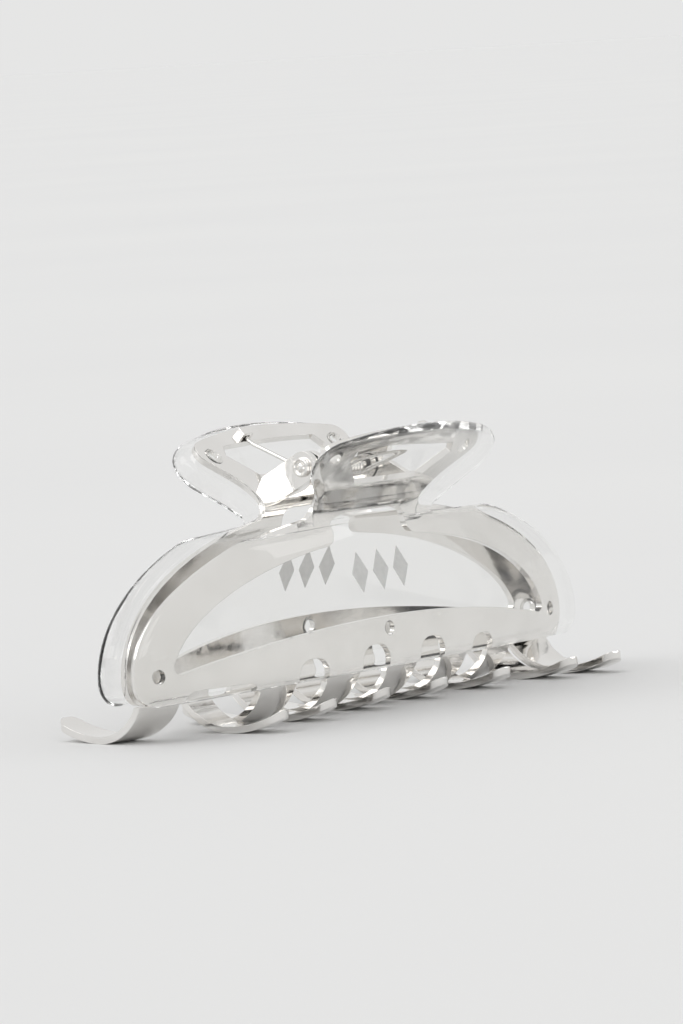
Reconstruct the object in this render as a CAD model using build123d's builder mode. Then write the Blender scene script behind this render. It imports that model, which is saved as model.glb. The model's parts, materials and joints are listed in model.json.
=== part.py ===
from build123d import *
from math import acos, asin, cos, degrees, radians, sin, sqrt
import os

# Large claw clip: two stamped jaws, each backed by a clear shell, hinged on a rivet with a torsion spring.
# X runs along the clip, the front jaw is on the -Y side, and the teeth stand on Z = 0.
# The back jaw is laid out in the front jaw's place and then turned half a turn about Z.

# Side profile of the stamped sheet: distance out from the mid-plane, and height above the table
sheet = 1.1
bar_out = 8.3               # sheet mid-line at the foot of the bar
bar_foot = 7.0
neck_out = 4.3              # where the jaw would meet the thumb tab if the bend were sharp
neck_height = 32.3
crown = 1.2                 # outward bulge of the jaw between bar and neck
neck_bend = 6.0
tab_tilt = 45.0             # thumb tab, leaning out from upright
tab_reach = 22.0            # from the neck to past the tab's free edge
curl_from = 8.6             # height where the teeth start to curl in
curl_radius = 7.0
curl_turn = 40.0            # angle turned at that radius, before the wider sweep to the table
tooth_in = 19.5             # distance a tooth reaches in from the bar
hook_rise = 2.6             # height a tooth gains past its lowest point
plan_radius = 190.0         # the jaws bow towards each other at their ends
sweep_half = 18.0           # half the angle that the bowed sheet spans

# Outlines seen from the front
half_length = 52.2
dome_height = 21.8          # outline above its widest level
wide_level = 10.3
foot_level = 5.8
foot_round = 4.0
neck_half = 12.1
neck_fillet = 3.0
window_half = 46.1
window_dome = 18.4
window_level = 8.8
window_corner = 1.2
arch_top = 14.6             # upper edge of the bar at mid-length
arch_radius = 230.0
tab_flare = 42.0            # the tab's sides spread to this angle
flare_radius = 9.5
flare_along = 27.2          # measured up the tab's plane, as are the other places on the tab
tab_shoulder = 4.7
tab_corner = 2.6
tab_edge_turn = 15.0        # half the angle of the free edge's arc
tab_window_low = (8.0, 33.2)        # half width and place up the tab of the tab window's corners
tab_window_side = (12.2, 37.9)
tab_window_high = (11.2, 39.9)
tab_window_top = 40.5
notch_half = 8.9
notch_top = 32.4
notch_corner = 3.0
notch_foot_round = 2.2

# Posts of the shell, staked through the sheet
post_radius = 1.15
post_head = 1.7
post_rise = 0.45
end_post_x = 48.4
end_post_level = 10.4
bar_post_level = 12.7
tab_post_x = 15.2
tab_post_along = 38.4

# Teeth
tooth_pitch = 14.3
tooth_root = 3.8            # half width where a tooth leaves the bar
tooth_tip = 2.0             # radius of the rounded tip
end_tooth = -48.0
inner_teeth = [tooth_pitch * (step + 0.25) for step in range(-2, 3)]
front_teeth = [end_tooth] + inner_teeth
back_teeth = [end_tooth, inner_teeth[0] - tooth_pitch] + inner_teeth
bar_depth = 4.1             # height of bar left over each gap between teeth
gap_round = 2.6

# Hinge
pin_height = 39.1
pin_radius = 1.0
running_gap = 0.06
ear_radius = 2.5
ear_outer = 8.0             # outer face of the wider ears
ear_gap = 0.3               # between the two jaws' ears
ear_foot = (28.0, 32.6)     # feet of the ears, measured up the tab plane
head_radius = 1.6
head_rise = 0.9
peen_radius = 1.4
end_play = 0.1
inner_ear = ear_outer - sheet - ear_gap - sheet

# Torsion spring
wire = 0.7
coil_radius = 1.5           # to the wire centre
coil_half = 5.1
leg_x = 4.7
leg_knee = 39.6             # where a leg turns to lie along the tab
leg_end = 42.6
leg_lift = sheet / 2 + 0.05 + wire / 2

# Lanced bridge on each tab, which keeps a spring leg
keeper_from = 40.9
keeper_to = 42.3
keeper_half = 1.2
keeper_wall = 0.6
tunnel = leg_lift - sheet / 2 + wire / 2 + 0.1

# Clear shell
shell = 4.0
overhang = 1.4
neck_overhang = 1.2
tab_overhang = 2.4
shell_foot_mid = 6.8
shell_foot_end = 5.0

# Printed motif on the back of each shell: three lozenges in a row
motif_half_width = 1.9
motif_half_height = 3.2
motif_pitch = 5.0
motif_level = 22.0
ink = 0.08

slope = radians(tab_tilt)
bow_centre = plan_radius - bar_out
bow_axis = Axis((0, bow_centre, 0), (0, 0, 1))
start = radians(sweep_half)
first_side = Plane(
    (0, bow_centre, 0), x_dir=(-sin(start), -cos(start), 0), z_dir=(-cos(start), sin(start), 0)
)
neck_along = neck_out * sin(slope) + neck_height * cos(slope)
tab_up = Vector(0, -sin(slope), cos(slope))
tab_plane = Plane(
    Vector(0, -neck_out, neck_height) - tab_up * neck_along,
    x_dir=(1, 0, 0),
    z_dir=(0, -cos(slope), -sin(slope)),
)
front_plane = Plane.XZ.offset(-40)      # front outlines are drawn behind the clip and cut right through it
through = 80
tab_back = tab_plane.offset(-5)         # tab outlines cut only the tab
tab_through = 10
hinge = Vector(0, 0, pin_height)
jaw_posts = [(-end_post_x, end_post_level), (end_post_x, end_post_level), (0, bar_post_level)]
tab_posts = [(-tab_post_x, tab_post_along), (tab_post_x, tab_post_along)]
dome_radius = (post_head**2 + post_rise**2) / (2 * post_rise)

# Arc of the jaw's side profile, as radius from the bow axis and height
foot = Vector(bow_centre + bar_out, bar_foot)
neck = Vector(bow_centre + neck_out, neck_height)
lean = (neck - foot).normalized()
outward = Vector(lean.Y, -lean.X)
jaw_radius = ((neck - foot).length ** 2 / 4 + crown**2) / (2 * crown)
jaw_centre = (foot + neck) * 0.5 - outward * (jaw_radius - crown)


def bow_y(radius, x):
    """Y of a point on the front jaw at this radius from the bow axis."""
    return bow_centre - sqrt(radius**2 - x**2)


def bar_level(x):
    """Height of the bar's upper edge."""
    return arch_top - arch_radius + sqrt(arch_radius**2 - x**2)


def on_jaw(x, level, lift):
    """Point over the front jaw: across, up, and distance in from the sheet mid-line."""
    rise = asin((level - jaw_centre.Y) / jaw_radius)
    reach = jaw_centre.X + jaw_radius * cos(rise)
    swing = asin(x / reach)
    normal = Vector(sin(swing) * cos(rise), -cos(swing) * cos(rise), sin(rise))
    return Vector(x, bow_y(reach, x), level) - normal * lift


def on_tab(x, along, lift):
    """Point over the front tab: across, up its plane, and distance in from the sheet mid-line."""
    return tab_plane.origin + Vector(x, 0, 0) + tab_up * along - tab_plane.z_dir * lift


def sheet_line(hooked):
    """Sheet mid-line from foot to past the free edge, with or without the tooth, as radius and height."""
    tab_top = neck + Vector(sin(slope), cos(slope)) * tab_reach
    curl_rise = asin((curl_from - jaw_centre.Y) / jaw_radius)
    curl = jaw_centre + Vector(cos(curl_rise), sin(curl_rise)) * jaw_radius
    with BuildLine() as line:
        jaw = ThreePointArc(curl if hooked else foot, (foot + neck) * 0.5 + outward * crown, neck)
        Line(neck, tab_top)
        fillet(line.vertices().sort_by_distance(Vertex(neck))[0], neck_bend)
        down = (jaw % 0) * -1
        if hooked:
            bend = JernArc(curl, down, curl_radius, -curl_turn)
            sweep_turn = 180 - (bend % 1).get_angle(Vector(1, 0))
            sweep_radius = ((bend @ 1).Y - sheet / 2) / (1 - cos(radians(sweep_turn)))
            sweep_in = JernArc(bend @ 1, bend % 1, sweep_radius, -sweep_turn)
            hook_reach = (sweep_in @ 1).X - bow_centre - bar_out + tooth_in
            tip_radius = (hook_reach**2 + hook_rise**2) / (2 * hook_rise)
            tip_turn = Vector(hook_reach, tip_radius - hook_rise).get_angle(Vector(0, 1))
            JernArc(sweep_in @ 1, sweep_in % 1, tip_radius, -tip_turn)
        else:
            Line(foot, foot + down * (bar_foot - shell_foot_end + overhang))
    return line.wire()


def sides(line, inner, outer):
    """Closed side profile between two offsets from the sheet mid-line; outer is away from the other jaw."""
    edges = [
        line.offset_2d(abs(gap), side=Side.RIGHT if gap > 0 else Side.LEFT, closed=False)
        for gap in (inner, outer)
    ]
    low, high = [
        [sorted((edge @ 0, edge @ 1), key=lambda point: point.Y)[end] for edge in edges] for end in (0, 1)
    ]
    with BuildSketch(first_side) as profile:
        with BuildLine():
            add(edges)
            Line(*low)
            Line(*high)
        make_face()
    return profile


def layer(hooked, inner, outer):
    """Bowed band that follows the sheet between two offsets from its mid-line."""
    with BuildPart() as band:
        add(sides(sheet_line(hooked), inner, outer).sketch)
        revolve(axis=bow_axis, revolution_arc=2 * sweep_half)
    return band.part


def jaw_front(grow, neck_grow, foot_mid, foot_end, corner):
    """Front outline of a jaw up to its neck."""
    far = half_length + 20
    with BuildSketch(front_plane) as outline:
        with Locations((0, wide_level)):
            Ellipse(half_length + grow, dome_height + grow)
        with BuildSketch(mode=Mode.PRIVATE) as below:
            with BuildLine():
                Polyline((-far, foot_end), (-far, -60), (far, -60), (far, foot_end))
                if foot_mid > foot_end:
                    ThreePointArc((-far, foot_end), (0, foot_mid), (far, foot_end))
                else:
                    Line((-far, foot_end), (far, foot_end))
            make_face()
        add(below.sketch, mode=Mode.SUBTRACT)
        fillet(outline.vertices().group_by(Axis.Y)[0], corner)
        with Locations((0, neck_height - 4)):
            Rectangle(2 * (neck_half + neck_grow), 16)
        inner_corners = [
            vertex
            for vertex in outline.vertices()
            if abs(abs(vertex.X) - neck_half - neck_grow) < 0.01 and abs(vertex.Y - neck_height) < 3.5
        ]
        fillet(inner_corners, neck_fillet)
    return outline.sketch


def tab_front(grow, neck_grow):
    """Outline of the thumb tab, measured up its plane."""
    waist = neck_half + neck_grow - grow
    flare_turn = radians(tab_flare)
    flare_bend = flare_radius + (neck_half - waist) / (1 - cos(flare_turn))
    flare_start = flare_along - (flare_bend - flare_radius) * sin(flare_turn)
    with BuildSketch(tab_back) as outline:
        with BuildLine():
            side = Polyline((0, 20), (waist, 20), (waist, flare_start))
            flare = JernArc(side @ 1, (0, 1), flare_bend, -tab_flare)
            shoulder = Line(flare @ 1, (flare @ 1) + (flare % 1) * tab_shoulder)
            corner = JernArc(shoulder @ 1, shoulder % 1, tab_corner, 90 + tab_flare - tab_edge_turn)
            edge_radius = (corner @ 1).X / sin(radians(tab_edge_turn))
            free_edge = JernArc(corner @ 1, corner % 1, edge_radius, tab_edge_turn)
            Line(free_edge @ 1, (0, 20))
        make_face()
        mirror(about=Plane.YZ)
        if grow:
            offset(amount=grow)
    return outline.sketch


def turned(piece):
    """The same piece on the back jaw."""
    return piece.rotate(Axis.Z, 180)


def stamped_outline(teeth):
    """The part of space that a stamped outline keeps: jaw with gaps between its teeth, teeth, and tab."""
    with BuildPart() as outline:
        extrude(jaw_front(0, 0, foot_level, foot_level, foot_round), amount=through)
        with BuildSketch(front_plane) as gaps:
            for left, right in zip(teeth, teeth[1:]):
                gap_half = (right - left) / 2 - tooth_root - 0.05
                crest = bar_level((left + right) / 2) - bar_depth
                with Locations(((left + right) / 2, crest - 10)):
                    RectangleRounded(2 * gap_half, 20, min(gap_round, 0.9 * gap_half))
        extrude(gaps.sketch, amount=through, mode=Mode.SUBTRACT)
        for x in teeth:
            with BuildSketch(Plane.XY.offset(-1)) as tooth:
                with Locations((x, bow_y(plan_radius + 2, x))):
                    Circle(tooth_root)
                with Locations((x, bow_y(plan_radius - tooth_in + 0.2, x) - tooth_tip)):
                    Circle(tooth_tip)
                make_hull()
            extrude(tooth.sketch, amount=foot_level + 1.2)
        extrude(tab_front(0, 0), amount=tab_through)
    return outline.part


def jaw_sheet(teeth):
    """A stamped sheet in the front jaw's place, before its ears are folded up."""
    with BuildPart() as stamped:
        add(layer(True, -sheet / 2, sheet / 2))
        add(stamped_outline(teeth), mode=Mode.INTERSECT)
        # Window with the notch that rises into the neck
        with BuildSketch(front_plane) as window:
            with Locations((0, window_level)):
                Ellipse(window_half, window_dome)
            with Locations((0, arch_top - arch_radius)):
                Circle(arch_radius, mode=Mode.SUBTRACT)
            fillet(window.vertices().sort_by(Axis.Y)[:2], window_corner)
            with Locations((0, notch_top - 5)):
                Rectangle(2 * notch_half, 10)
            fillet(window.vertices().group_by(Axis.Y)[-1], notch_corner)
            notch_feet = window.vertices().filter_by(lambda point: abs(abs(point.X) - notch_half) < 0.01)
            fillet(notch_feet.sort_by(Axis.Y)[:2], notch_foot_round)
        extrude(window.sketch, amount=through, mode=Mode.SUBTRACT)
        # Holes for the shell's posts
        with BuildSketch(front_plane) as jaw_holes:
            with Locations(*jaw_posts):
                Circle(post_radius)
        extrude(jaw_holes.sketch, amount=through, mode=Mode.SUBTRACT)
        with BuildSketch(tab_back) as tab_holes:
            with Locations(*tab_posts):
                Circle(post_radius)
            with BuildLine():
                Polyline((0, tab_window_low[1]), tab_window_low, tab_window_side, tab_window_high)
                ThreePointArc(tab_window_high, (0, tab_window_top), (-tab_window_high[0], tab_window_high[1]))
                Polyline(
                    (-tab_window_high[0], tab_window_high[1]),
                    (-tab_window_side[0], tab_window_side[1]),
                    (-tab_window_low[0], tab_window_low[1]),
                    (0, tab_window_low[1]),
                )
            make_face()
        extrude(tab_holes.sketch, amount=tab_through, mode=Mode.SUBTRACT)
    return stamped.part


def ears(spans, bore):
    """Hinge ears of the front jaw, square to the pin, from the tab's foot to round the pin."""
    with BuildPart() as pair:
        for low, high in spans:
            with BuildSketch(Plane.YZ.offset(low)) as ear:
                with Locations((0, pin_height)):
                    Circle(ear_radius)
                for along in ear_foot:
                    place = on_tab(0, along, 0)
                    with Locations((place.Y, place.Z)):
                        Circle(0.2)
                make_hull()
                with Locations((0, pin_height)):
                    Circle(bore, mode=Mode.SUBTRACT)
            extrude(ear.sketch, amount=high - low)
    return pair.part


def keeper(x):
    """Lanced bridge on the front tab, open at both ends along the tab."""
    with BuildPart() as bridge:
        with BuildSketch(Plane(on_tab(x, keeper_from, sheet / 2), x_dir=(1, 0, 0), z_dir=tab_up)) as section:
            Rectangle(2 * keeper_half, tunnel + keeper_wall, align=(Align.CENTER, Align.MIN))
            fillet(section.vertices().group_by(Axis.Y)[-1], keeper_wall)
            Rectangle(
                2 * (keeper_half - keeper_wall), tunnel, align=(Align.CENTER, Align.MIN), mode=Mode.SUBTRACT
            )
        extrude(section.sketch, amount=keeper_to - keeper_from)
    return bridge.part


def stamping(teeth, bore):
    """A whole stamped jaw, in the front jaw's place."""
    with BuildPart() as jaw:
        add(jaw_sheet(teeth))
        add(ears([(-inner_ear - sheet, -inner_ear), (ear_outer - sheet, ear_outer)], bore))
        add(keeper(leg_x))
    return jaw.part


with BuildPart() as front_frame:
    add(stamping(front_teeth, pin_radius + running_gap))
with BuildPart() as back_frame:
    add(turned(stamping(back_teeth, pin_radius)))


# Clear shell of the front jaw: a slab behind the sheet, with posts staked through it
with BuildPart() as shell_outline:
    extrude(jaw_front(overhang, neck_overhang, shell_foot_mid, shell_foot_end, foot_round), amount=through)
    extrude(tab_front(tab_overhang, neck_overhang), amount=tab_through)
with BuildPart() as rods:
    with BuildSketch(front_plane) as jaw_dots:
        with Locations(*jaw_posts):
            Circle(post_radius)
    extrude(jaw_dots.sketch, amount=through)
    with BuildSketch(tab_back) as tab_dots:
        with Locations(*tab_posts):
            Circle(post_radius)
    extrude(tab_dots.sketch, amount=tab_through)
with BuildPart() as domes:
    for x, level in jaw_posts:
        with Locations(on_jaw(x, level, sheet / 2 + post_rise - dome_radius)):
            Sphere(dome_radius)
    for x, along in tab_posts:
        with Locations(on_tab(x, along, sheet / 2 + post_rise - dome_radius)):
            Sphere(dome_radius)
with BuildPart() as post_shanks:
    add(layer(False, -sheet / 2, sheet / 2 + 1))
    add(rods.part, mode=Mode.INTERSECT)
with BuildPart() as post_heads:
    add(layer(False, -sheet / 2 - 1, -sheet / 2))
    add(domes.part, mode=Mode.INTERSECT)
with BuildPart() as front_shell:
    add(layer(False, sheet / 2, sheet / 2 + shell))
    add(shell_outline.part, mode=Mode.INTERSECT)
    add(post_shanks.part)
    add(post_heads.part)
with BuildPart() as back_shell:
    add(turned(front_shell.part))

# Motif printed on the back of the shell, seen through the window
with BuildPart() as lozenges:
    with BuildSketch(front_plane) as row:
        with Locations(*[(step * motif_pitch, motif_level) for step in (-1, 0, 1)]):
            Polygon(
                (-motif_half_width, 0),
                (0, -motif_half_height),
                (motif_half_width, 0),
                (0, motif_half_height),
                align=None,
            )
    extrude(row.sketch, amount=through)
with BuildPart() as front_print:
    add(layer(False, sheet / 2 - ink, sheet / 2))
    add(lozenges.part, mode=Mode.INTERSECT)
with BuildPart() as back_print:
    add(turned(front_print.part))

# Rivet through all four ears: domed head on the left, peened end on the right
peen = ear_outer + end_play
with BuildPart() as hinge_pin:
    with BuildSketch(Plane.XZ) as half_section:
        with BuildLine():
            crest = (-ear_outer - head_rise, pin_height)
            rim = (-ear_outer, pin_height + head_radius)
            ThreePointArc(crest, (-ear_outer - 0.75 * head_rise, pin_height + 0.62 * head_radius), rim)
            Polyline(
                rim,
                (-ear_outer, pin_height + pin_radius),
                (peen, pin_height + pin_radius),
                (peen, pin_height + peen_radius),
                (peen + 0.3, pin_height + peen_radius),
                (peen + head_rise, pin_height + 0.6 * peen_radius),
                (peen + head_rise, pin_height),
                crest,
            )
        make_face()
    revolve(half_section.sketch, axis=Axis(hinge, (1, 0, 0)))

# Torsion spring: coil round the pin, with a leg along each tab
knee = on_tab(0, leg_knee, leg_lift)
span = knee - hinge
lower_side = span.get_angle(Vector(0, -1, 0)) + degrees(acos(coil_radius / span.length))
swing = radians(lower_side)
tangent_point = hinge + Vector(leg_x, -coil_radius * cos(swing), coil_radius * sin(swing))
with BuildPart() as leg:
    with BuildLine() as path:
        Polyline(tangent_point, knee + Vector(leg_x, 0, 0), on_tab(leg_x, leg_end, leg_lift))
    with BuildSketch(path.line ^ 0) as section:
        Circle(wire / 2)
    sweep(section.sketch, path=path.line, transition=Transition.ROUND)
with BuildPart() as torsion_spring:
    with BuildSketch(Plane.YZ.offset(-coil_half)) as coil:
        with Locations((0, pin_height)):
            Circle(coil_radius + wire / 2)
            Circle(coil_radius - wire / 2, mode=Mode.SUBTRACT)
    extrude(coil.sketch, amount=2 * coil_half)
    add(leg.part)
    add(turned(leg.part))

os.makedirs("parts", exist_ok=True)
front_frame.part.label = "front_frame"
export_step(front_frame.part, "parts/front_frame.step")
back_frame.part.label = "back_frame"
export_step(back_frame.part, "parts/back_frame.step")
front_shell.part.label = "front_shell"
export_step(front_shell.part, "parts/front_shell.step")
back_shell.part.label = "back_shell"
export_step(back_shell.part, "parts/back_shell.step")
front_print.part.label = "front_print"
export_step(front_print.part, "parts/front_print.step")
back_print.part.label = "back_print"
export_step(back_print.part, "parts/back_print.step")
hinge_pin.part.label = "hinge_pin"
export_step(hinge_pin.part, "parts/hinge_pin.step")
torsion_spring.part.label = "torsion_spring"
export_step(torsion_spring.part, "parts/torsion_spring.step")
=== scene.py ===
import json
import math
import bpy
import bmesh
import numpy as np
from mathutils import Matrix, Vector


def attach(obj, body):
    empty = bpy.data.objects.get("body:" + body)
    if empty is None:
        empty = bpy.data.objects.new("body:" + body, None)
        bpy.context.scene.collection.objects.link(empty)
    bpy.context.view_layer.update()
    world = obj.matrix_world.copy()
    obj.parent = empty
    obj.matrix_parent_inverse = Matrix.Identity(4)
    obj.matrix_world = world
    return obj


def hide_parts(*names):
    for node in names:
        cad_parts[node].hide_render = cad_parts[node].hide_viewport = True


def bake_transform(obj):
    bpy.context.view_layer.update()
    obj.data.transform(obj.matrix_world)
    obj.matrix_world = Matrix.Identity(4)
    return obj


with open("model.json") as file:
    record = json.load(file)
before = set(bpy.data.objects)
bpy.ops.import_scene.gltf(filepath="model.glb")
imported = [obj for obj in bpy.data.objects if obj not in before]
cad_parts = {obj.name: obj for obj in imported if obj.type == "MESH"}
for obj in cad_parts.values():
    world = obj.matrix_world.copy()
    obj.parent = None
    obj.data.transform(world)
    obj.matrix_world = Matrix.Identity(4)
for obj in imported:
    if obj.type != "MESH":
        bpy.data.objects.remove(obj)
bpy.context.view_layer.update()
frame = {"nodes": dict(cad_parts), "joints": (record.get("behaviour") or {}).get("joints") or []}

MM = 0.001

# The clip's driving sizes in millimetres. Across is X, out is away from the other jaw, up is Z.
SHEET = 1.1
BAR_OUT, BAR_FOOT = 8.3, 7.0
NECK_OUT, NECK_HEIGHT = 4.3, 32.3
CROWN = 1.2
NECK_BEND = 6.0
TAB_TILT = math.radians(45.0)
TAB_REACH = 22.0
BOW_CENTRE = 190.0 - BAR_OUT
HALF_LENGTH, DOME_HEIGHT, WIDE_LEVEL = 53.6, 23.2, 10.3
FOOT_ROUND = 4.0
SHEET_NECK_HALF, NECK_HALF = 12.1, 13.3
SHELL = 4.0
TAB_OVERHANG = 2.4
TAB_FLARE, FLARE_RADIUS, FLARE_ALONG = math.radians(42.0), 9.5, 27.2
TAB_SHOULDER, TAB_CORNER, TAB_EDGE_TURN = 4.7, 2.6, math.radians(15.0)
HINGE = Vector((0, 0, frame["joints"][0]["pos_m"][2] / MM))
POST_RADIUS, POST_HEAD, POST_RISE = 1.15, 1.7, 0.45
JAW_POSTS = [(-48.4, 10.4), (48.4, 10.4), (0.0, 12.7)]
TAB_POSTS = [(-15.2, 38.4), (15.2, 38.4)]
WIRE, COIL_RADIUS, LEG_X = 0.7, 1.5, 4.7
LEG_KNEE, LEG_END = 39.6, 42.6
EAR_OUTER, END_PLAY = 8.0, 0.1


# ---------------------------------------------------------------- side profile of a jaw

def side_profile():
    """Sheet mid-line from below the foot to past the tab: rows of (run, out, up, normal out, normal up)."""
    foot, neck = np.array((BAR_OUT, BAR_FOOT)), np.array((NECK_OUT, NECK_HEIGHT))
    lean = (neck - foot) / np.linalg.norm(neck - foot)
    outward = np.array((lean[1], -lean[0]))
    radius = (np.dot(neck - foot, neck - foot) / 4 + CROWN**2) / (2 * CROWN)
    centre = (foot + neck) / 2 - outward * (radius - CROWN)
    along_tab = np.array((math.sin(TAB_TILT), math.cos(TAB_TILT)))
    off_tab = np.array((math.cos(TAB_TILT), -math.sin(TAB_TILT)))
    from_centre = neck + off_tab * NECK_BEND - centre
    half_b = np.dot(from_centre, along_tab)
    c = np.dot(from_centre, from_centre) - (radius + NECK_BEND) ** 2
    roots = [-half_b - math.sqrt(half_b**2 - c), -half_b + math.sqrt(half_b**2 - c)]
    shift = min(roots, key=abs)
    bend = neck + along_tab * shift + off_tab * NECK_BEND
    foot_angle = math.atan2(*(foot - centre)[::-1])
    bend_angle = math.atan2(*(bend - centre)[::-1])
    rows = []
    foot_normal = np.array((math.cos(foot_angle), math.sin(foot_angle)))
    down = np.array((foot_normal[1], -foot_normal[0]))
    for step in np.linspace(4.0, 0.1, 40):
        rows.append((*(foot + down * step), *foot_normal))
    for angle in np.linspace(foot_angle, bend_angle, 220):
        normal = np.array((math.cos(angle), math.sin(angle)))
        rows.append((*(centre + normal * radius), *normal))
    for angle in np.linspace(bend_angle, -TAB_TILT, 90)[1:]:
        normal = np.array((math.cos(angle), math.sin(angle)))
        rows.append((*(bend - normal * NECK_BEND), *normal))
    tab_foot = bend - off_tab * NECK_BEND
    for step in np.linspace(0.1, TAB_REACH, 200):
        rows.append((*(tab_foot + along_tab * step), *off_tab))
    rows = np.array(rows)
    run = np.concatenate(([0.0], np.cumsum(np.hypot(*np.diff(rows[:, :2], axis=0).T))))
    return np.column_stack((run, rows))


PROFILE = side_profile()


def over_sheet(x, run, lift):
    """Points over the front jaw in mm, from distance across, run up the profile, and lift off its mid-line."""
    x, run, lift = np.broadcast_arrays(np.asarray(x, float), run, lift)
    out, up, normal_out, normal_up = (np.interp(run, PROFILE[:, 0], PROFILE[:, k]) for k in (1, 2, 3, 4))
    swing = np.arcsin(x / (BOW_CENTRE + out))
    reach = BOW_CENTRE + out + lift * normal_out
    height = up + lift * normal_up
    return np.stack((reach * np.sin(swing), BOW_CENTRE - reach * np.cos(swing), height), axis=-1)


def run_at_level(level, lift=0.0):
    """Run up the profile where the surface at this lift has this height; for the jaw below the neck."""
    heights = PROFILE[:, 2] + lift * PROFILE[:, 4]
    return np.interp(level, heights, PROFILE[:, 0])


def run_at_along(along):
    """Run up the profile at this distance up the tab's plane."""
    measured = (PROFILE[:, 1] + PROFILE[:, 2]) / math.sqrt(2)
    rising = PROFILE[:, 2] > NECK_HEIGHT - 3
    return np.interp(along, measured[rising], PROFILE[rising, 0])


# ---------------------------------------------------------------- mesh helpers

def piece_from(name, vertices, faces, smooth=True):
    """A mesh object from points in millimetres."""
    mesh = bpy.data.meshes.new(name)
    mesh.from_pydata([tuple(np.asarray(v, float) * MM) for v in vertices], [], faces)
    mesh.validate()
    for polygon in mesh.polygons:
        polygon.use_smooth = smooth
    made = bpy.data.objects.new(name, mesh)
    bpy.context.scene.collection.objects.link(made)
    return made


def lathe(profile, origin, axis, segments=48):
    """Vertices and faces of a closed solid turned about an axis; profile rows are (radius, distance along it)."""
    axis = Vector(axis).normalized()
    side = axis.orthogonal().normalized()
    other = axis.cross(side)
    vertices, faces, rings = [], [], []
    for radius, height in profile:
        base = Vector(origin) + axis * height
        if radius < 1e-6:
            rings.append([len(vertices)])
            vertices.append(base)
            continue
        rings.append(list(range(len(vertices), len(vertices) + segments)))
        for step in range(segments):
            turn = math.tau * step / segments
            vertices.append(base + side * radius * math.cos(turn) + other * radius * math.sin(turn))
    for low, high in zip(rings, rings[1:]):
        for step in range(segments):
            after = (step + 1) % segments
            if len(low) == 1:
                faces.append((low[0], high[after], high[step]))
            elif len(high) == 1:
                faces.append((low[step], low[after], high[0]))
            else:
                faces.append((low[step], low[after], high[after], high[step]))
    return vertices, faces


def tube(path, radius, sides=14):
    """Vertices and faces of a round wire along a list of points, with flat ends."""
    path = [Vector(point) for point in path]
    tangents = [(b - a).normalized() for a, b in zip(path, path[1:])]
    tangents = [tangents[0]] + [(a + b).normalized() for a, b in zip(tangents, tangents[1:])] + [tangents[-1]]
    side = tangents[0].orthogonal().normalized()
    vertices, faces = [], []
    for point, tangent in zip(path, tangents):
        side = (side - tangent * side.dot(tangent)).normalized()
        other = tangent.cross(side)
        for step in range(sides):
            turn = math.tau * step / sides
            vertices.append(point + (side * math.cos(turn) + other * math.sin(turn)) * radius)
    for ring in range(len(path) - 1):
        for step in range(sides):
            after = (step + 1) % sides
            a, b = ring * sides, (ring + 1) * sides
            faces.append((a + step, a + after, b + after, b + step))
    faces.append(tuple(reversed(range(sides))))
    faces.append(tuple(range(len(vertices) - sides, len(vertices))))
    return vertices, faces


def fused(body, tools):
    """The body with the tools' solids joined to it."""
    for tool in tools:
        modifier = body.modifiers.new("join", "BOOLEAN")
        modifier.operation = "UNION"
        modifier.solver = "EXACT"
        modifier.object = tool
    mesh = bpy.data.meshes.new_from_object(body.evaluated_get(bpy.context.evaluated_depsgraph_get()))
    body.modifiers.clear()
    body.data = mesh
    for tool in tools:
        bpy.data.objects.remove(tool)
    for polygon in body.data.polygons:
        polygon.use_smooth = True
    body.data.set_sharp_from_angle(angle=math.radians(38))
    return body


def turned_copy(piece, name):
    """The same piece on the back jaw."""
    copy = bpy.data.objects.new(name, piece.data.copy())
    copy.data.transform(Matrix.Rotation(math.pi, 4, "Z"))
    bpy.context.scene.collection.objects.link(copy)
    return copy


# ---------------------------------------------------------------- materials

def nodes_of(material):
    material.use_nodes = True
    tree = material.node_tree
    return tree, tree.nodes["Principled BSDF"]


def noise(tree, scale, detail=4.0, stretch=(1, 1, 1)):
    """Noise over the object's own coordinates."""
    place = tree.nodes.new("ShaderNodeTexCoord")
    mapping = tree.nodes.new("ShaderNodeMapping")
    mapping.inputs["Scale"].default_value = stretch
    texture = tree.nodes.new("ShaderNodeTexNoise")
    texture.inputs["Scale"].default_value = scale
    texture.inputs["Detail"].default_value = detail
    tree.links.new(place.outputs["Object"], mapping.inputs["Vector"])
    tree.links.new(mapping.outputs["Vector"], texture.inputs["Vector"])
    return texture.outputs["Fac"]


def ramp(tree, source, low, high, start=0.3, end=0.7):
    """Colour ramp between two values or colours."""
    node = tree.nodes.new("ShaderNodeValToRGB")
    node.color_ramp.elements[0].position = start
    node.color_ramp.elements[1].position = end
    node.color_ramp.elements[0].color = (*low, 1)
    node.color_ramp.elements[1].color = (*high, 1)
    tree.links.new(source, node.inputs["Fac"])
    return node.outputs["Color"]


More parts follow.
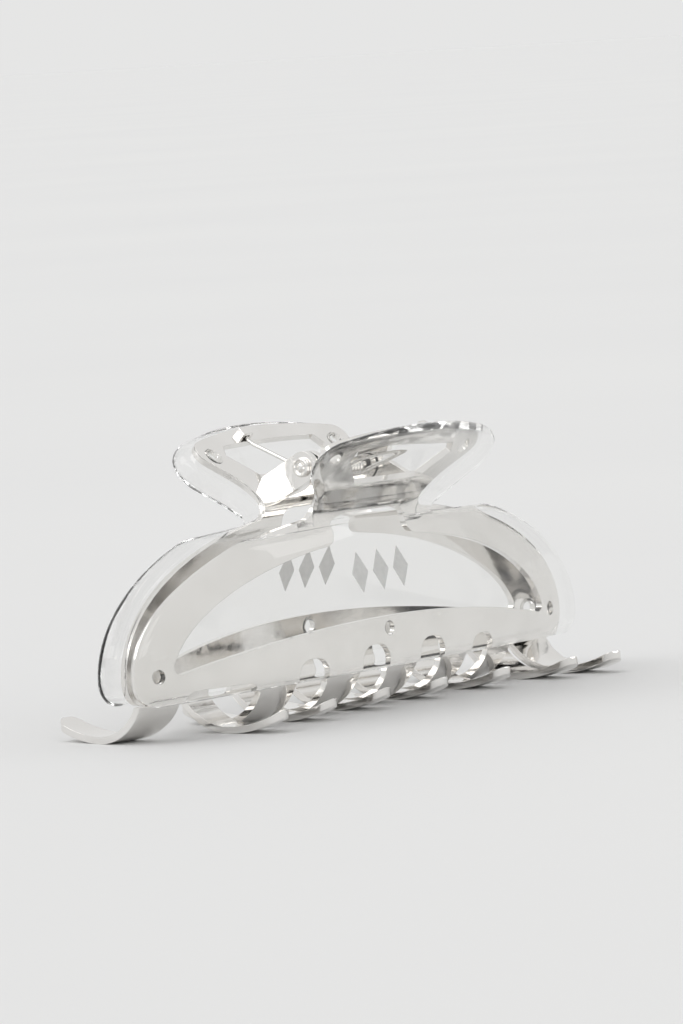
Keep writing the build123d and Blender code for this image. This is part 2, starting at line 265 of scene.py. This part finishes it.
def polished_metal(name, light, dark, smooth, rough, edge=0.00012):
    """Bright plated metal: rounded edges, faint polishing marks and slow colour drift."""
    material = bpy.data.materials.new(name)
    tree, shader = nodes_of(material)
    shader.inputs["Metallic"].default_value = 1.0
    tree.links.new(ramp(tree, noise(tree, 90), dark, light), shader.inputs["Base Color"])
    wear = ramp(tree, noise(tree, 600, 6), (smooth,) * 3, (rough,) * 3)
    tree.links.new(wear, shader.inputs["Roughness"])
    rounding = tree.nodes.new("ShaderNodeBevel")
    rounding.samples = 6
    rounding.inputs["Radius"].default_value = edge
    bump = tree.nodes.new("ShaderNodeBump")
    bump.inputs["Strength"].default_value = 0.04
    bump.inputs["Distance"].default_value = 0.0002
    tree.links.new(noise(tree, 350, 3, (1, 1, 2.5)), bump.inputs["Height"])
    tree.links.new(rounding.outputs["Normal"], bump.inputs["Normal"])
    tree.links.new(bump.outputs["Normal"], shader.inputs["Normal"])
    return material


def clear_resin():
    """Water-clear polished resin, bent light kept low so that its thick rims stay pale."""
    material = bpy.data.materials.new("clear_resin")
    tree, shader = nodes_of(material)
    shader.inputs["Base Color"].default_value = (0.985, 0.985, 0.98, 1)
    shader.inputs["Transmission Weight"].default_value = 1.0
    shader.inputs["IOR"].default_value = 1.08
    shader.inputs["Coat Weight"].default_value = 0.8
    shader.inputs["Coat IOR"].default_value = 1.47
    shader.inputs["Coat Roughness"].default_value = 0.02
    wear = ramp(tree, noise(tree, 300, 4), (0.0,) * 3, (0.035,) * 3, 0.45, 0.8)
    tree.links.new(wear, shader.inputs["Roughness"])
    bump = tree.nodes.new("ShaderNodeBump")
    bump.inputs["Strength"].default_value = 0.05
    bump.inputs["Distance"].default_value = 0.0004
    tree.links.new(noise(tree, 45, 2), bump.inputs["Height"])
    tree.links.new(bump.outputs["Normal"], shader.inputs["Normal"])
    return material


def silver_ink():
    """Thin satin print with uneven cover."""
    material = bpy.data.materials.new("silver_ink")
    tree, shader = nodes_of(material)
    cover = ramp(tree, noise(tree, 1500, 5), (0.82, 0.82, 0.81), (0.90, 0.90, 0.89))
    tree.links.new(cover, shader.inputs["Base Color"])
    shader.inputs["Metallic"].default_value = 0.05
    tree.links.new(ramp(tree, noise(tree, 900, 4), (0.35,) * 3, (0.5,) * 3), shader.inputs["Roughness"])
    return material


metal = polished_metal("polished_metal", (0.90, 0.885, 0.865), (0.83, 0.815, 0.79), 0.05, 0.13)
wire_metal = polished_metal("spring_wire", (0.80, 0.79, 0.77), (0.70, 0.69, 0.67), 0.08, 0.18, 0.00004)
resin = clear_resin()
ink = silver_ink()


def finish_piece(piece, body, material, replaced):
    """Gives a piece its material, slot and body, and hides the CAD node it stands for."""
    piece.data.materials.clear()
    piece.data.materials.append(material)
    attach(piece, body)
    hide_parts(replaced)


for node, material in (
    ("front_frame", metal), ("back_frame", metal), ("front_print", ink), ("back_print", ink),
):
    frame["nodes"][node].data.materials.clear()
    frame["nodes"][node].data.materials.append(material)


# ---------------------------------------------------------------- clear shells

MID_LIFT = SHEET / 2 + SHELL / 2
AIR = 0.03
FOOT_MID, FOOT_DROP, FOOT_DROP_HALF = 6.8, 1.8, 72.2
FOOT_ARCH_RADIUS = (FOOT_DROP_HALF**2 + FOOT_DROP**2) / (2 * FOOT_DROP)
FOOT_CORNER_X = HALF_LENGTH - FOOT_ROUND
FOOT_END = FOOT_MID - FOOT_CORNER_X**2 / (2 * FOOT_ARCH_RADIUS)
RIM_OUT, RIM_IN = 2.1, 1.1      # how far in from the edge the rim's rounding reaches, on each face
RIM_BAND = 2.6                  # band of closer mesh rows along the rim
EASE_REACH = 9.0                # run over which the foot's and the free edge's curves fade out


def tab_side():
    """Right side of the shell's tab, from the neck to the end of its top corner: rows of (across, along)."""
    waist = NECK_HALF - TAB_OVERHANG
    bend = FLARE_RADIUS + (SHEET_NECK_HALF - waist) / (1 - math.cos(TAB_FLARE))
    start = FLARE_ALONG - (bend - FLARE_RADIUS) * math.sin(TAB_FLARE)
    rows = [(NECK_HALF, start - 2.0)]
    for angle in np.linspace(0, TAB_FLARE, 24):
        rows.append((
            waist + bend * (1 - math.cos(angle)) + TAB_OVERHANG * math.cos(angle),
            start + bend * math.sin(angle) - TAB_OVERHANG * math.sin(angle),
        ))
    at = np.array((waist + bend * (1 - math.cos(TAB_FLARE)), start + bend * math.sin(TAB_FLARE)))
    at = at + TAB_SHOULDER * np.array((math.sin(TAB_FLARE), math.cos(TAB_FLARE)))
    centre = at + TAB_CORNER * np.array((-math.cos(TAB_FLARE), math.sin(TAB_FLARE)))
    for angle in np.linspace(-TAB_FLARE, math.pi / 2 - TAB_EDGE_TURN, 40):
        rows.append((
            centre[0] + (TAB_CORNER + TAB_OVERHANG) * math.cos(angle),
            centre[1] + (TAB_CORNER + TAB_OVERHANG) * math.sin(angle),
        ))
    return np.array(rows)


def shell_outline():
    """Half width against run, with the curved foot and free edge pulled straight."""
    side = tab_side()
    edge_radius = side[-1, 0] / math.sin(TAB_EDGE_TURN)
    flat = side[:, 1] + side[:, 0] ** 2 / (2 * edge_radius) * np.clip((side[:, 1] - 36.0) / 6.0, 0, 1)
    tab_runs = run_at_along(flat)
    levels = np.concatenate((
        FOOT_END + FOOT_ROUND * (1 - np.cos(np.linspace(0, math.pi / 2, 30))), np.linspace(10.0, 34.0, 240),
    ))
    corner = FOOT_CORNER_X + np.sqrt(np.clip(FOOT_ROUND**2 - (levels - FOOT_END - FOOT_ROUND) ** 2, 0, None))
    dome = HALF_LENGTH * np.sqrt(np.clip(1 - ((levels - WIDE_LEVEL) / DOME_HEIGHT) ** 2, 0, None))
    width = np.where(levels < FOOT_END + FOOT_ROUND, np.minimum(corner, HALF_LENGTH), dome)
    soft = 9.0
    blend = np.clip(soft - np.abs(width - NECK_HALF), 0, None) / soft
    width = np.where(levels > 20, np.maximum(width, NECK_HALF) + blend**2 * soft / 4 * (width > 1), width)
    jaw_runs = run_at_level(levels, MID_LIFT)
    keep = jaw_runs < tab_runs[0] - 0.3
    neck = np.clip(width, NECK_HALF, None)
    runs = np.concatenate((jaw_runs[keep], tab_runs))
    widths = np.concatenate((neck[keep], side[:, 0]))
    return runs, widths, edge_radius


def shell_mesh(name):
    """Slab behind the sheet with round rims, as two skins that meet along the middle of the rim."""
    runs, widths, edge_radius = shell_outline()
    turn = np.linspace(0, math.pi / 2, 9)[:-1]
    edge = RIM_BAND * (1 - np.cos(turn))
    inner_rows = np.linspace(runs[0] + RIM_BAND, runs[-1] - RIM_BAND, 110)
    rows = np.concatenate((runs[0] + edge, inner_rows, (runs[-1] - edge)[::-1]))
    half = np.interp(rows, runs, widths)
    inside = np.linspace(-1, 1, 91)
    x = np.array([np.concatenate((-w + edge, inside * (w - RIM_BAND), (w - edge)[::-1])) for w in half])
    run = np.repeat(rows[:, None], x.shape[1], axis=1)
    foot_ease = np.clip(1 - (run - runs[0]) / EASE_REACH, 0, 1) ** 2
    top_ease = np.clip(1 - (runs[-1] - run) / EASE_REACH, 0, 1)
    top_ease = top_ease**2 * (3 - 2 * top_ease)
    across = np.minimum(np.abs(x), FOOT_CORNER_X)
    run = run + foot_ease * (FOOT_CORNER_X**2 - across**2) / (2 * FOOT_ARCH_RADIUS)
    run = run - top_ease * x**2 / (2 * edge_radius)
    starts, ends = [], []
    for line in (
        np.stack((x[0], run[0]), 1), np.stack((x[:, -1], run[:, -1]), 1),
        np.stack((x[-1], run[-1]), 1), np.stack((x[:, 0], run[:, 0]), 1),
    ):
        starts.append(line[:-1])
        ends.append(line[1:])
    points = np.stack((x, run), -1).reshape(-1, 2)
    nearest = np.full(len(points), 1e9)
    for a, b in zip(np.concatenate(starts), np.concatenate(ends)):
        span = b - a
        length = max(float(span @ span), 1e-12)
        t = np.clip((points - a) @ span / length, 0, 1)
        nearest = np.minimum(nearest, np.hypot(*(points - a - t[:, None] * span).T))
    depth = nearest.reshape(x.shape)
    edge_grid = np.zeros(x.shape, bool)
    edge_grid[0] = edge_grid[-1] = True
    edge_grid[:, 0] = edge_grid[:, -1] = True
    depth[edge_grid] = 0
    round_out = np.sqrt(1 - (1 - np.clip(depth / RIM_OUT, 0, 1)) ** 2)
    round_in = np.sqrt(1 - (1 - np.clip(depth / RIM_IN, 0, 1)) ** 2)
    middle = MID_LIFT + 0.15
    outer = over_sheet(x, run, middle + (SHEET / 2 + SHELL - middle) * round_out)
    inner = over_sheet(x, run, middle - (middle - SHEET / 2 - AIR) * round_in)
    n_rows, n_cols = x.shape
    count = n_rows * n_cols
    vertices = np.concatenate((outer.reshape(-1, 3), inner.reshape(-1, 3)))
    faces = []
    for i in range(n_rows - 1):
        for j in range(n_cols - 1):
            a, b = i * n_cols + j, (i + 1) * n_cols + j
            faces.append((a, a + 1, b + 1, b))
            faces.append((count + a, count + b, count + b + 1, count + a + 1))
    made = piece_from(name, vertices, faces)
    edit = bmesh.new()
    edit.from_mesh(made.data)
    bmesh.ops.remove_doubles(edit, verts=edit.verts, dist=1e-6)
    bmesh.ops.recalc_face_normals(edit, faces=edit.faces)
    edit.to_mesh(made.data)
    edit.free()
    return made


def post(x, run, number):
    """A post from inside the slab, through the sheet, to its staked dome."""
    base, tip = over_sheet(x, run, 0.0), over_sheet(x, run, -1.0)
    dome = (POST_HEAD**2 + POST_RISE**2) / (2 * POST_RISE)
    profile = [(0, -1.6), (POST_RADIUS - 0.02, -1.6), (POST_RADIUS - 0.02, SHEET / 2 + 0.02)]
    start = math.asin(POST_HEAD / dome)
    for angle in np.linspace(start, 0, 8):
        profile.append((dome * math.sin(angle), SHEET / 2 + POST_RISE - dome * (1 - math.cos(angle)) + 0.02))
    made = piece_from(f"post_{number}", *lathe(profile, base, tip - base, 40))
    edit = bmesh.new()
    edit.from_mesh(made.data)
    bmesh.ops.recalc_face_normals(edit, faces=edit.faces)
    edit.to_mesh(made.data)
    edit.free()
    return made


posts = [(x, run_at_level(level)) for x, level in JAW_POSTS]
posts += [(x, run_at_along(along)) for x, along in TAB_POSTS]
front_shell = shell_mesh("front_shell_detail")
fused(front_shell, [post(x, run, number) for number, (x, run) in enumerate(posts)])
back_shell = turned_copy(front_shell, "back_shell_detail")
finish_piece(front_shell, "front_jaw", resin, "front_shell")
finish_piece(back_shell, "back_jaw", resin, "back_shell")


# ---------------------------------------------------------------- hinge pin

def hinge_pin():
    """Rivet with a ring pressed into its domed head, and a flared, peened far end."""
    near = -EAR_OUTER
    head = [
        (0, near - 0.95), (0.35, near - 0.92), (0.62, near - 0.78), (0.78, near - 0.55),
        (0.86, near - 0.45), (0.98, near - 0.45), (1.08, near - 0.55), (1.2, near - 0.72),
        (1.38, near - 0.72), (1.53, near - 0.6), (1.6, near - 0.4), (1.6, near - 0.08),
        (1.55, near), (1.0, near),
    ]
    far = EAR_OUTER + END_PLAY
    tail = [
        (1.0, far), (1.35, far), (1.42, far + 0.08), (1.42, far + 0.3), (1.3, far + 0.5), (1.05, far + 0.7),
        (0.8, far + 0.78), (0.55, far + 0.7), (0.3, far + 0.5), (0, far + 0.45),
    ]
    made = piece_from("hinge_rivet", *lathe(head + tail, HINGE, (1, 0, 0), 56))
    made.data.set_sharp_from_angle(angle=math.radians(50))
    return made


rivet = hinge_pin()
finish_piece(rivet, "back_jaw", metal, "hinge_pin")


# ---------------------------------------------------------------- torsion spring

def spring_path():
    """Centre of the wire from the end of the back leg, round the coil, to the end of the front leg."""
    lift = SHEET / 2 + 0.05 + WIRE / 2
    knee = Vector(over_sheet(LEG_X, run_at_along(LEG_KNEE), -lift))
    end = Vector(over_sheet(LEG_X, run_at_along(LEG_END), -lift))
    reach = Vector((0, knee.y, knee.z - HINGE.z))
    knee_angle = math.atan2(reach.z, reach.y) % math.tau
    last = knee_angle + math.acos(COIL_RADIUS / reach.length)
    first = 3 * math.pi - last
    turns = 13
    total = first - last + math.tau * turns
    coil = []
    for step in range(turns * 40 + 1):
        t = step / (turns * 40)
        angle = first - total * t
        coil.append(Vector((
            -LEG_X + 2 * LEG_X * t, COIL_RADIUS * math.cos(angle), HINGE.z + COIL_RADIUS * math.sin(angle),
        )))
    front = rounded(coil[-1], knee, end)
    back = [Vector((-p.x, -p.y, p.z)) for p in front]
    return back[::-1] + coil + front


def rounded(start, knee, end):
    """Points from after start, round the knee, to end."""
    into, away = (knee - start).normalized(), (end - knee).normalized()
    cut = 0.8
    a, b = knee - into * cut, knee + away * cut
    points = [start.lerp(a, t) for t in np.linspace(0.04, 1, 14)]
    for t in np.linspace(0, 1, 9)[1:]:
        points.append(a.lerp(knee, t).lerp(knee.lerp(b, t), t))
    return points + [b.lerp(end, t) for t in (0.5, 1)]


spring = piece_from("torsion_spring_coil", *tube(spring_path(), WIRE / 2))
spring.data.materials.append(wire_metal)
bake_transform(spring)
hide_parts("torsion_spring")


# ---------------------------------------------------------------- floor, light and camera

def studio_floor():
    """Wide, flat, pale paper that meets the equally pale surroundings at the horizon."""
    segments, vertices, faces = 64, [(0.0, 0.0, 0.0)], []
    radii = (0.05, 0.15, 0.4, 1.0, 3.0, 12.0, 40.0)
    for radius in radii:
        for step in range(segments):
            turn = math.tau * step / segments
            vertices.append((radius * math.cos(turn), radius * math.sin(turn), 0.0))
    for step in range(segments):
        faces.append((0, 1 + step, 1 + (step + 1) % segments))
    for ring in range(len(radii) - 1):
        for step in range(segments):
            after = (step + 1) % segments
            a, b = 1 + ring * segments, 1 + (ring + 1) * segments
            faces.append((a + step, b + step, b + after, a + after))
    made = piece_from("studio_floor", np.array(vertices) / MM, faces)
    material = bpy.data.materials.new("studio_paper")
    tree, shader = nodes_of(material)
    tone = ramp(tree, noise(tree, 3), (0.80, 0.80, 0.80), (0.815, 0.815, 0.812))
    tree.links.new(tone, shader.inputs["Base Color"])
    shader.inputs["Roughness"].default_value = 0.8
    shader.inputs["Specular IOR Level"].default_value = 0.1
    made.data.materials.append(material)
    return made


def around(azimuth, elevation, distance):
    """A point seen from the middle of the clip; azimuth 0 is on the -Y side and 90 on the +X side."""
    a, e = math.radians(azimuth), math.radians(elevation)
    return Vector((math.sin(a) * math.cos(e), -math.cos(a) * math.cos(e), math.sin(e))) * distance


def card(name, azimuth, elevation, distance, width, height, shade, glow=0.0):
    """Card that only shows in reflections, dark or glowing, to draw edges on the metal and the resin."""
    corners = np.array([(-width, -height, 0), (width, -height, 0), (width, height, 0), (-width, height, 0)])
    made = piece_from(name, corners * 500, [(0, 1, 2, 3)])
    where = around(azimuth, elevation, distance)
    made.matrix_world = Matrix.Translation(where) @ where.to_track_quat("Z", "Y").to_matrix().to_4x4()
    material = bpy.data.materials.new(name)
    shader = nodes_of(material)[1]
    shader.inputs["Base Color"].default_value = (shade, shade, shade, 1)
    shader.inputs["Roughness"].default_value = 0.9
    shader.inputs["Emission Color"].default_value = (1, 1, 1, 1)
    shader.inputs["Emission Strength"].default_value = glow
    made.data.materials.append(material)
    made.visible_camera = False
    made.visible_diffuse = False
    made.visible_transmission = False
    made.visible_shadow = False


def soft_sun(name, azimuth, elevation, strength, angle):
    """Even light from one wide direction."""
    light = bpy.data.lights.new(name, "SUN")
    light.energy = strength
    light.angle = math.radians(angle)
    made = bpy.data.objects.new(name, light)
    made.rotation_euler = (-around(azimuth, elevation, 1)).to_track_quat("-Z", "Y").to_euler()
    bpy.context.scene.collection.objects.link(made)


studio_floor()

world = bpy.data.worlds.new("studio")
bpy.context.scene.world = world
world.use_nodes = True
world.node_tree.nodes["Background"].inputs["Color"].default_value = (1, 1, 0.995, 1)
world.node_tree.nodes["Background"].inputs["Strength"].default_value = 0.79

soft_sun("key", -120, 48, 0.78, 45)
card("glow_high", -75, 38, 0.9, 0.55, 0.25, 0.8, 2.2)
card("glow_right", 40, 30, 0.9, 0.20, 0.40, 0.8, 1.8)
card("shade_low", -50, 9, 0.9, 0.9, 0.10, 0.42)
card("shade_side", 75, 16, 0.9, 0.35, 0.40, 0.48)

PHOTO_AZIMUTH, PHOTO_ELEVATION, PHOTO_ROLL = math.radians(50.0), math.radians(4.4), math.radians(-3.46)
target, distance, focal_heights = Vector((0.95, 0, 31.08)) * MM, 0.980, 6130 / 1024
forward = Vector((
    math.sin(PHOTO_AZIMUTH) * math.cos(PHOTO_ELEVATION), math.cos(PHOTO_AZIMUTH) * math.cos(PHOTO_ELEVATION),
    -math.sin(PHOTO_ELEVATION),
))
level_right = Vector((math.cos(PHOTO_AZIMUTH), -math.sin(PHOTO_AZIMUTH), 0))
level_up = level_right.cross(forward)
right = level_right * math.cos(PHOTO_ROLL) + level_up * math.sin(PHOTO_ROLL)
up = level_up * math.cos(PHOTO_ROLL) - level_right * math.sin(PHOTO_ROLL)
camera_data = bpy.data.cameras.new("camera")
camera_data.sensor_width = 36.0
camera_data.lens = focal_heights * 36.0
camera_data.clip_start, camera_data.clip_end = 0.01, 100.0
camera = bpy.data.objects.new("camera", camera_data)
camera.matrix_world = Matrix.Translation(target - forward * distance) @ Matrix(
    (right, up, -forward)
).transposed().to_4x4()
bpy.context.scene.collection.objects.link(camera)
bpy.context.scene.camera = camera
bpy.context.scene.view_settings.view_transform = "Standard"
